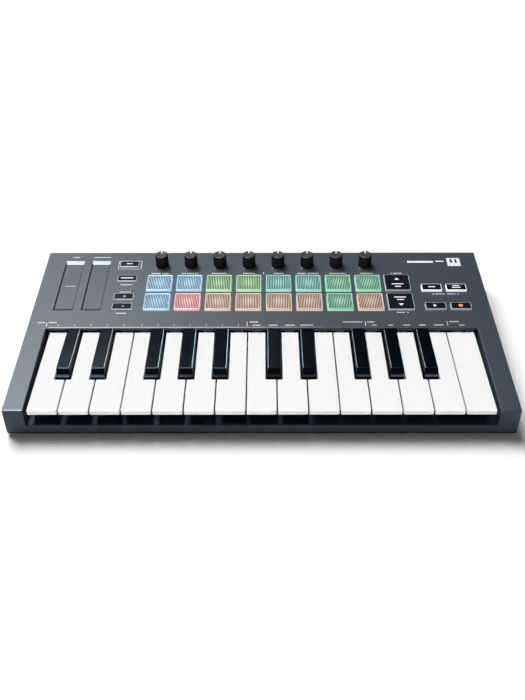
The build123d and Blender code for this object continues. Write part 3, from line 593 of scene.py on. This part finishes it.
def button_marks(name, x, s):
    """Outlines of the marks on a button's top, with generic bars for its words."""
    plus_arm = (0.95, 0.24)
    if name == "page_up_button":
        words = [bar(x - 4.4, x + 4.4, s - 2.1, 1.0), bar(x - 2.3, x + 2.3, s - 5.1, 1.0)]
        return [up_triangle(x, s + 4.1, 1.9), *words]
    if name == "page_down_button":
        words = [bar(x - 4.3, x + 4.3, s + 4.5, 1.0), bar(x - 2.65, x + 2.65, s + 1.6, 1.0)]
        return [down_triangle(x, s - 4.1, 1.9), *words]
    if name == "play_button":
        return [right_triangle(x - 0.5, s, 1.5)]
    if name == "record_button":
        return [circle(x - 0.3, s, 1.6, 32)]
    if name == "octave_up_button":
        return [plus_outline(x + 0.6, s, *plus_arm)]
    if name == "octave_down_button":
        return [round_rect(x + 0.6, s, *plus_arm, 0.05, 2)]
    if name == "scale_button":
        return [bar(x - 2.5, x + 2.7, s, 1.0)]
    if name == "note_repeat_button":
        return [bar(x - 2.6, x + 2.4, s + 1.3, 0.9), bar(x - 3.4, x + 3.2, s - 0.8, 0.9)]
    if name == "shift_button":
        return [bar(x - 2.4, x + 2.4, s, 1.0)]
    return [bar(x - 4.6, x + 4.6, s, 1.0)]


LIT_BUTTONS = ("scale_button", "note_repeat_button")
RIM_W = 0.42                    # light rim left round a button's black top
RIM_DROP = 0.12                 # the rim ends below the black top
MARK_H = 0.03


def make_button(name):
    """Button of three pieces: a body that shows as a light rim, a black top and a mark."""
    x, s, size_x, size_s = node_place(name)
    size_x -= 2 * BUTTON_FLANGE
    size_s -= 2 * BUTTON_FLANGE
    rim = LIT_RIM if name in LIT_BUTTONS else RIM
    top_h = LOW_TOP_H if name in LOW_BUTTONS else TOP_H
    flange_h = -PANEL_T - 0.3
    flange = round_rect(x, s, size_x / 2 + BUTTON_FLANGE, size_s / 2 + BUTTON_FLANGE, 0.3)
    bm = bmesh.new()
    stack(bm, [(flange, flange_h - 1.0), (flange, flange_h)])
    round_box(bm, x, s, size_x, size_s, flange_h - 0.1, top_h - RIM_DROP, 0.9, 0.2)
    body = finish_piece(bm, f"{name}_body", [rim], name)
    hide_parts(name)
    bm = bmesh.new()
    round_box(bm, x, s, size_x - 2 * RIM_W, size_s - 2 * RIM_W, top_h - 0.5, top_h - MARK_H, 0.55, 0.06)
    finish_piece(bm, f"{name}_top", [BUTTON_TOP], name)
    bm = bmesh.new()
    for outline in button_marks(name, x, s):
        prism(bm, outline, top_h - 0.1, top_h)
    ink = RED_PRINT if name == "record_button" else WHITE_ICON
    finish_piece(bm, f"{name}_mark", [ink], name)


# --- knobs ------------------------------------------------------------------------
POINTER_HALF_W = 0.42
POINTER_T = 0.25
POINTER_BEND_R = 4.3            # beyond it the pointer runs down the cap's side
# Outline of the cap: (radius, height above the panel)
KNOB_PROFILE = (
    (2.3, -0.2), (2.3, 0.55), (4.75, 0.62), (5.02, 0.75), (5.08, 1.0), (5.0, 2.2), (4.93, 4.0),
    (4.88, 6.5), (4.84, 8.9), (4.78, 9.3), (4.62, 9.62), (4.35, 9.84), (4.1, 9.9), (3.8, 9.86),
    (2.0, 9.74), (0.6, 9.7),
)
# The pointer lies over the cap's edge: (distance from the axis, height) of its outer face
POINTER_PATH = (
    (1.5, 9.83), (3.8, 9.92), (4.12, 9.96), (4.40, 9.89), (4.68, 9.65), (4.84, 9.3), (4.88, 8.9),
    (4.90, 8.3),
)


def make_knob(joint):
    """Turned cap with a soft top edge, a slight dish and a white pointer."""
    name = joint["child"]
    place = TO_PANEL @ (Vector(joint["pos_m"]) / MM)
    x, s = place.x, place.y
    bm = bmesh.new()
    stack(bm, [(circle(x, s, radius, 64), h) for radius, h in KNOB_PROFILE])
    cap = finish_piece(bm, f"{name}_cap", [KNOB], name, angle=50)
    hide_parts(name)
    bm = bmesh.new()
    sections = []
    for r, h in POINTER_PATH:
        sunk = POINTER_T if r > POINTER_BEND_R else 0.0
        corners = ((-POINTER_HALF_W, r, h), (POINTER_HALF_W, r, h))
        corners += ((POINTER_HALF_W, r - sunk, h - POINTER_T), (-POINTER_HALF_W, r - sunk, h - POINTER_T))
        sections.append([bm.verts.new((x + across, s + out, up)) for across, out, up in corners])
    for low, high in zip(sections, sections[1:]):
        for i in range(4):
            j = (i + 1) % 4
            bm.faces.new((low[i], low[j], high[j], high[i]))
    bm.faces.new(sections[0][::-1])
    bm.faces.new(sections[-1])
    finish_piece(bm, f"{name}_pointer", [WHITE_ICON], name)


# --- key springs ------------------------------------------------------------------
SPRING_WIRE_R = 0.22
SPRING_TURNS = 4.5
NOTES = ("c", "cs", "d", "ds", "e", "f", "fs", "g", "gs", "a", "as", "b")
GAP_BETWEEN_SPRINGS = 2.0


def pitch_of(key):
    """Octave and place in it of a key, from its name."""
    note = key.rsplit("_", 1)[1]
    return int(note[-1]), NOTES.index(note[:-1])


def spring_places():
    """Middle x of each spring of the CAD node, from left to right."""
    node = frame["nodes"]["key_springs"]
    xs = sorted((node.matrix_world @ vertex.co).x / MM for vertex in node.data.vertices)
    starts = [i + 1 for i, (near, far) in enumerate(zip(xs, xs[1:])) if far - near > GAP_BETWEEN_SPRINGS]
    return [(xs[first] + xs[last - 1]) / 2 for first, last in zip([0, *starts], [*starts, len(xs)])]


def make_key_spring(key, x, low, high):
    """Coil spring between the chassis and a key's arm."""
    y = (low.y + high.y) / 2
    radius = (high.y - low.y) / 2 - SPRING_WIRE_R
    bottom = low.z + SPRING_WIRE_R
    top = high.z - SPRING_WIRE_R
    sides = 6
    steps = 81
    bm = bmesh.new()
    rings = []
    for k in range(steps + 1):
        a = 2 * pi * SPRING_TURNS * k / steps
        z = bottom + (top - bottom) * k / steps
        ring = []
        for i in range(sides):
            b = 2 * pi * i / sides
            out = radius + SPRING_WIRE_R * cos(b)
            ring.append(bm.verts.new((x + out * cos(a), y + out * sin(a), z + SPRING_WIRE_R * sin(b))))
        rings.append(ring)
    for near, far in zip(rings, rings[1:]):
        for i in range(sides):
            j = (i + 1) % sides
            bm.faces.new((near[i], near[j], far[j], far[i]))
    bm.faces.new(rings[0])
    bm.faces.new(rings[-1][::-1])
    piece = new_piece(bm, f"spring_of_{key}", [STEEL], Matrix.Identity(4), 60)
    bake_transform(piece)
    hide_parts("key_springs")


def make_key_springs():
    """One spring for each key; both run from left to right."""
    low, high = (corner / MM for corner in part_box("key_springs"))
    keys = [joint["child"] for name, joint in JOINTS.items() if "_key_" in name]
    keys.sort(key=pitch_of)
    for key, x in zip(keys, spring_places(), strict=True):
        make_key_spring(key, x, low, high)


# --- print on the panel, and painted edge highlights ------------------------------
PRINT_LOW = -0.04
PRINT_HIGH = 0.03


def print_and_highlight_piece(name, outlines, material=PRINT, lift=0.0):
    """Thin plates with the given outlines, as print on the panel, and also as painted highlights."""
    bm = bmesh.new()
    for outline in outlines:
        prism(bm, outline, PRINT_LOW + lift, PRINT_HIGH + lift)
    finish_piece(bm, name, [material], CASE_BODY)


def frame_outline(bm, x, s, half_x, half_s, radius, width):
    """Closed ring with the shape of a rounded rectangle's outline."""
    outer = round_rect(x, s, half_x, half_s, radius)
    inner = round_rect(x, s, half_x - width, half_s - width, radius - width)
    n = len(outer)
    rings = [[bm.verts.new((px, py, h)) for px, py in points] for points, h in (
        (outer, PRINT_LOW), (outer, PRINT_HIGH), (inner, PRINT_HIGH), (inner, PRINT_LOW))]
    for k in range(4):
        low = rings[k]
        high = rings[(k + 1) % 4]
        for i in range(n):
            j = (i + 1) % n
            bm.faces.new((low[i], low[j], high[j], high[i]))


# Marks of the key functions: (first x, distance between marks, count)
TICK_ROWS = ((-143.6, 11.6, 5), (-84.3, 11.3, 7))
# (x, low s, high s)
LONG_TICKS = ((-151.8, 83.0, 87.0), (-10.4, 83.0, 88.0), (73.2, 83.0, 88.5), (131.0, 83.6, 88.5))

# Words are shown as plain bars: (left x, right x, s), or (left x, right x) for a row of them.
LABEL_H = 0.85
KEY_LABELS = (
    (-158.8, -153.2, 87.2), (-150.6, -145.2, 87.2), (-8.6, -2.6, 87.6), (57.2, 71.2, 87.6),
    (74.6, 79.6, 87.6), (132.6, 139.6, 87.9),
)
SMALL_KEY_LABELS_S = 84.2
SMALL_KEY_LABELS = (
    (-6.6, -0.8), (4.9, 11.2), (16.4, 23.4), (27.1, 36.2), (77.6, 80.9), (89.1, 92.6),
    (99.6, 104.4), (110.8, 115.3), (121.3, 127.8), (139.1, 142.9),
)
PAD_LABELS_S = 145.0
PAD_LABELS = (
    (-83.6, -76.6), (-75.4, -70.0), (-60.6, -47.8), (-38.0, -26.8), (-14.4, -5.4), (8.9, 16.3),
    (26.6, 33.4), (34.6, 42.8), (51.0, 63.4), (74.4, 84.0), (99.4, 105.6),
)
BUTTON_LABELS = (
    (-105.5, -96.2, 131.0), (-104.8, -96.7, 122.3), (-104.7, -97.1, 97.6), (-145.9, -140.5, 165.7),
    (-129.8, -116.7, 165.7), (96.6, 102.6, 98.4), (127.4, 134.4, 119.6), (136.0, 142.4, 119.6),
)
KNOB_DOT_R = 0.3
KNOB_DOTS_FROM_AXIS = 5.9
STRIP_FLOOR_H = -1.1            # floor of a touch strip's recess


def label_bars(words):
    """Outlines of the bars for words given as (left x, right x, s)."""
    return [bar(left, right, s, LABEL_H) for left, right, s in words]


def in_a_row(spans, s):
    """Words given as (left x, right x), all at the same s."""
    return [(left, right, s) for left, right in spans]


def knob_dots():
    """Outlines of the dots at both ends of each knob's turn."""
    dots = []
    for joint in KNOB_JOINTS:
        place = TO_PANEL @ (Vector(joint["pos_m"]) / MM)
        for end in joint["range_deg"]:
            a = radians(90 - end)
            x = place.x + KNOB_DOTS_FROM_AXIS * cos(a)
            y = place.y + KNOB_DOTS_FROM_AXIS * sin(a)
            dots.append(circle(x, y, KNOB_DOT_R, 16))
    return dots


def make_prints():
    """All print on the panel, apart from the badge."""
    ticks = []
    for first, pitch, count in TICK_ROWS:
        ticks += [round_rect(first + i * pitch, 84.3, 0.22, 0.65, 0.1, 2) for i in range(count)]
    for x, low, high in LONG_TICKS:
        ticks.append(round_rect(x, (low + high) / 2, 0.17, (high - low) / 2, 0.05, 2))
    print_and_highlight_piece("print_ticks", ticks)
    key_labels = label_bars(KEY_LABELS) + label_bars(in_a_row(SMALL_KEY_LABELS, SMALL_KEY_LABELS_S))
    print_and_highlight_piece("print_key_labels", key_labels, SOFT_PRINT)
    print_and_highlight_piece("print_pad_labels", label_bars(in_a_row(PAD_LABELS, PAD_LABELS_S)), SOFT_PRINT)
    print_and_highlight_piece("print_pad_divider", [round_rect(1.2, 145.2, 0.2, 1.3, 0.05, 2)])
    print_and_highlight_piece("print_button_labels", label_bars(BUTTON_LABELS), SOFT_PRINT)
    arrows = [
        down_triangle(97.8, 145.0, 0.7), right_triangle(104.9, 98.4, 0.75),
        right_triangle(144.2, 119.6, 0.75), [(125.0, 119.6), (126.4, 118.9), (126.4, 120.3)],
    ]
    print_and_highlight_piece("print_arrows", arrows)
    bm = bmesh.new()
    frame_outline(bm, -100.75, 155.85, 8.85, 5.25, 1.5, 0.34)
    finish_piece(bm, "print_shift_outline", [PRINT], CASE_BODY)
    print_and_highlight_piece("print_knob_dots", knob_dots())
    print_and_highlight_piece("print_pitch_centre", [bar(-146.3, -139.2, 130.7, 0.6)], SOFT_PRINT, lift=STRIP_FLOOR_H)


def make_painted_edge_highlights():
    """Painted highlights: paler lines along the edges of the well's back and the left cheek's front."""
    print_and_highlight_piece("painted_highlight_well_edge", [bar(-150.0, 45.0, 81.95, 0.55)], PAINTED_EDGE_HIGHLIGHT)
    print_and_highlight_piece("painted_highlight_cheek_edge", [bar(-163.8, -152.4, 0.8, 0.5)], PAINTED_EDGE_HIGHLIGHT)


def make_badge():
    """Plain white badge with a generic picture of two black keys between white ones."""
    print_and_highlight_piece("badge_bar", [bar(111.5, 131.5, 159.6, 2.4), bar(133.2, 139.6, 160.2, 1.3)])
    bm = bmesh.new()
    prism(bm, round_rect(147.1, 159.3, 4.95, 5.1, 0.5), PRINT_LOW, PRINT_HIGH)
    finish_piece(bm, "badge_plate", [PRINT], CASE_BODY)
    bm = bmesh.new()
    for x in (145.3, 148.9):
        prism(bm, round_rect(x, 160.6, 0.85, 2.5, 0.2), PRINT_HIGH - 0.02, PRINT_HIGH + 0.03)
    for x in (143.6, 147.1, 150.6):
        prism(bm, round_rect(x, 155.9, 0.12, 1.5, 0.05, 2), PRINT_HIGH - 0.02, PRINT_HIGH + 0.03)
    finish_piece(bm, "badge_picture", [CASE], CASE_BODY)


# --- stage ------------------------------------------------------------------------
def area_light(name, direction, distance, size, light, colour=(1, 1, 1)):
    """Rectangular softbox aimed at the object; light is its share of the floor's full light."""
    toward = Vector(direction).normalized()
    data = bpy.data.lights.new(name, "AREA")
    data.shape = "RECTANGLE"
    data.size, data.size_y = size
    data.energy = light * pi * pi * distance ** 2 / max(toward.z, 0.2)
    data.color = colour
    lamp = bpy.data.objects.new(name, data)
    lamp.location = toward * distance
    lamp.rotation_euler = toward.to_track_quat("Z", "Y").to_euler()
    bpy.context.scene.collection.objects.link(lamp)
    return lamp


KEY_DIRECTION = (-0.39, 0.55, 1.0)
KEY_DISTANCE = 4.8
KEY_SIZE = (2.6, 2.6)
KEY_SHARE = 1.13
WHITE_KEYS_DIRECTION = (-0.15, -0.1, 1.0)
LAMP_DISTANCE = 2.4
HIGHLIGHT_COLOUR = (0.86, 0.94, 1.0)
WORLD_STRENGTH = 0.04
FLOOR_REACH = 6.0
# Highlights of the black keys, each on the keys of one half: name, half, direction, size, share
BLACK_KEY_LIGHTS = (
    ("sheen_left", -1, (-0.38, 0.60, 0.95), (1.2, 1.2), 3.3),
    ("sheen_right", 1, (-0.20, 0.80, 0.75), (1.0, 1.0), 0.22),
    ("front_edges_left", -1, (-0.25, -0.27, 1.0), (0.9, 0.5), 22.0),
    ("feet_right", 1, (0.25, 0.42, 1.0), (0.6, 0.5), 1.2),
    ("side_edges_left", -1, (0.44, 0.757, 0.48), (0.5, 0.5), 7.0),
    ("side_edges_right", 1, (-0.44, 0.757, 0.48), (0.4, 0.4), 4.0),
)


def nodes_named(start):
    """CAD nodes whose names begin with the given word."""
    return [frame["nodes"][name] for name in sorted(frame["nodes"]) if name.startswith(start)]


def group_of(name, members, state="INCLUDE"):
    """Collection of objects that a light is limited to, or that it leaves out."""
    group = bpy.data.collections.new(name)
    for member in members:
        group.objects.link(member)
    for entry in group.collection_objects:
        entry.light_linking.link_state = state
    return group


def make_floor():
    """Plain white floor at table height."""
    mesh = bpy.data.meshes.new("floor")
    corners = [(x * FLOOR_REACH, y * FLOOR_REACH, 0) for x, y in ((-1, -1), (1, -1), (1, 1), (-1, 1))]
    mesh.from_pydata(corners, [], [(0, 1, 2, 3)])
    floor = bpy.data.objects.new("floor", mesh)
    floor.data.materials.append(new_material("floor_white", (0.97, 0.97, 0.97), 0.9, Specular_IOR_Level=0.0))
    bpy.context.scene.collection.objects.link(floor)


def make_world():
    """Faint white light from all round."""
    world = bpy.data.worlds.new("studio")
    world.use_nodes = True
    world.node_tree.nodes["Background"].inputs["Color"].default_value = (1, 1, 1, 1)
    world.node_tree.nodes["Background"].inputs["Strength"].default_value = WORLD_STRENGTH
    bpy.context.scene.world = world


def make_lights():
    """Softboxes; the white keys have one of their own, from above, that black keys do not shade."""
    white_keys = nodes_named("white_key")
    black_keys = nodes_named("black_key")
    key_light = area_light("key_light", KEY_DIRECTION, KEY_DISTANCE, KEY_SIZE, KEY_SHARE)
    key_light.light_linking.receiver_collection = group_of("lit_by_key_light", white_keys, "EXCLUDE")
    keys_light = area_light("white_keys_light", WHITE_KEYS_DIRECTION, KEY_DISTANCE, KEY_SIZE, KEY_SHARE)
    keys_light.light_linking.receiver_collection = group_of("white_keys", white_keys)
    keys_light.light_linking.blocker_collection = group_of("no_black_key_shadows", black_keys, "EXCLUDE")
    area_light("front_fill", (0.0, -1.0, 0.2), LAMP_DISTANCE, (2.4, 0.5), 0.05)
    # Soft lamps that only show as highlights: on the case's edges, and on the black keys.
    edge_light = area_light("top_edge_light", (-0.26, 0.05, 1.0), LAMP_DISTANCE, (0.9, 0.7), 5.5)
    edge_light.visible_diffuse = False
    for name, half, direction, size, light in BLACK_KEY_LIGHTS:
        lamp = area_light(name, direction, LAMP_DISTANCE, size, light, HIGHLIGHT_COLOUR)
        lamp.visible_diffuse = False
        lit = [key for key in black_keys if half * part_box(key.name)[0][0] > 0]
        lamp.light_linking.receiver_collection = group_of(name, lit)


CAMERA_PLACE = (0.00142, -0.49193, 0.40257)
CAMERA_BELOW_LEVEL = 39.194     # degrees, as are the next two
CAMERA_YAW = 0.115
CAMERA_ROLL = -0.122
CAMERA_LENS = 45.106


def make_camera():
    """Camera in front of the keyboard, looking down at it."""
    data = bpy.data.cameras.new("camera")
    data.sensor_width = 36.0
    data.lens = CAMERA_LENS
    data.clip_start = 0.01
    camera = bpy.data.objects.new("camera", data)
    camera.location = CAMERA_PLACE
    yaw = Matrix.Rotation(radians(CAMERA_YAW), 3, "Z")
    pitch = Matrix.Rotation(radians(90 - CAMERA_BELOW_LEVEL), 3, "X")
    roll = Matrix.Rotation(radians(CAMERA_ROLL), 3, "Z")
    camera.rotation_euler = (yaw @ pitch @ roll).to_euler()
    bpy.context.scene.collection.objects.link(camera)
    bpy.context.scene.camera = camera
    bpy.context.scene.view_settings.view_transform = "Standard"


make_camera()
make_floor()
make_world()
make_lights()
paint_cad_nodes()
make_pads()
for button in sorted(name for name in frame["nodes"] if name.endswith("_button")):
    make_button(button)
for knob_joint in KNOB_JOINTS:
    make_knob(knob_joint)
make_key_springs()
make_prints()
make_painted_edge_highlights()
make_badge()
